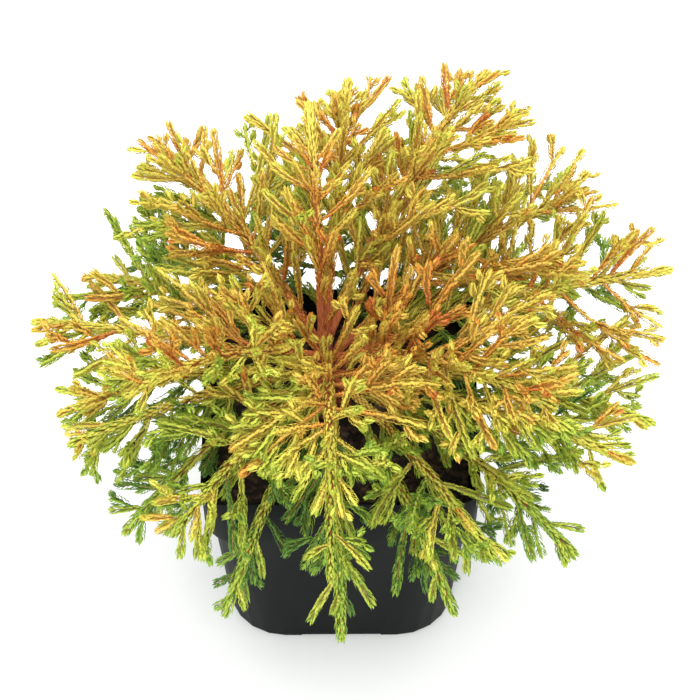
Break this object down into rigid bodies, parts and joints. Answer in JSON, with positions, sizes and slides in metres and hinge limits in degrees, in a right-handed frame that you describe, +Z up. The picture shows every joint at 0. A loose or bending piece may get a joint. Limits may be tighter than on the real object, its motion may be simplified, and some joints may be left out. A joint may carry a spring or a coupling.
{
  "type": "potted conifer shrub",
  "caption": "Low, spreading golden arborvitae shrub with awl-leaved sprays on rust-brown stems, rooted in a square black plastic nursery pot that stands on its flat underside.",
  "frame": {"origin": "centre of the flat underside of the pot", "axes": "+Z up, front towards -Y, +X to the right as seen from the front"},
  "size_m": [0.2991, 0.252, 0.2483],
  "materials": {
    "pot_plastic": "satin charcoal-black moulded plastic",
    "potting_soil": "dark crumbly potting compost",
    "bark": "thin rust-brown peeling bark",
    "foliage_gold": "matt golden awl leaves with orange tips",
    "foliage_lime": "matt yellow-green awl leaves",
    "foliage_green": "matt bright to deep green awl leaves"
  },
  "bodies": {
    "root": {"pot": "pot_plastic", "soil": "potting_soil", "stem": "bark", "bough_lower_1": "bark", "mass_lower_1": "foliage_green", "bough_lower_2": "bark", "mass_lower_2": "foliage_green", "bough_lower_3": "bark", "mass_lower_3": "foliage_green", "bough_lower_4": "bark", "mass_lower_4": "foliage_green", "bough_lower_5": "bark", "mass_lower_5": "foliage_green", "bough_lower_6": "bark", "mass_lower_6": "foliage_green", "bough_lower_7": "bark", "mass_lower_7": "foliage_green", "bough_lower_8": "bark", "mass_lower_8": "foliage_green", "bough_lower_9": "bark", "mass_lower_9": "foliage_green", "bough_lower_10": "bark", "mass_lower_10": "foliage_green", "bough_middle_1": "bark", "mass_middle_1": "foliage_lime", "bough_middle_2": "bark", "mass_middle_2": "foliage_lime", "bough_middle_3": "bark", "mass_middle_3": "foliage_lime", "bough_middle_4": "bark", "mass_middle_4": "foliage_lime", "bough_middle_5": "bark", "mass_middle_5": "foliage_lime", "bough_middle_6": "bark", "mass_middle_6": "foliage_lime", "bough_middle_7": "bark", "mass_middle_7": "foliage_lime", "bough_middle_8": "bark", "mass_middle_8": "foliage_lime", "bough_middle_9": "bark", "mass_middle_9": "foliage_lime", "bough_upper_1": "bark", "mass_upper_1": "foliage_gold", "bough_upper_2": "bark", "mass_upper_2": "foliage_gold", "bough_upper_3": "bark", "mass_upper_3": "foliage_gold", "bough_upper_4": "bark", "mass_upper_4": "foliage_gold", "bough_upper_5": "bark", "mass_upper_5": "foliage_gold", "bough_upper_6": "bark", "mass_upper_6": "foliage_gold", "bough_upper_7": "bark", "mass_upper_7": "foliage_gold", "bough_leader": "bark", "mass_leader": "foliage_gold"}
  },
  "joints": []
}
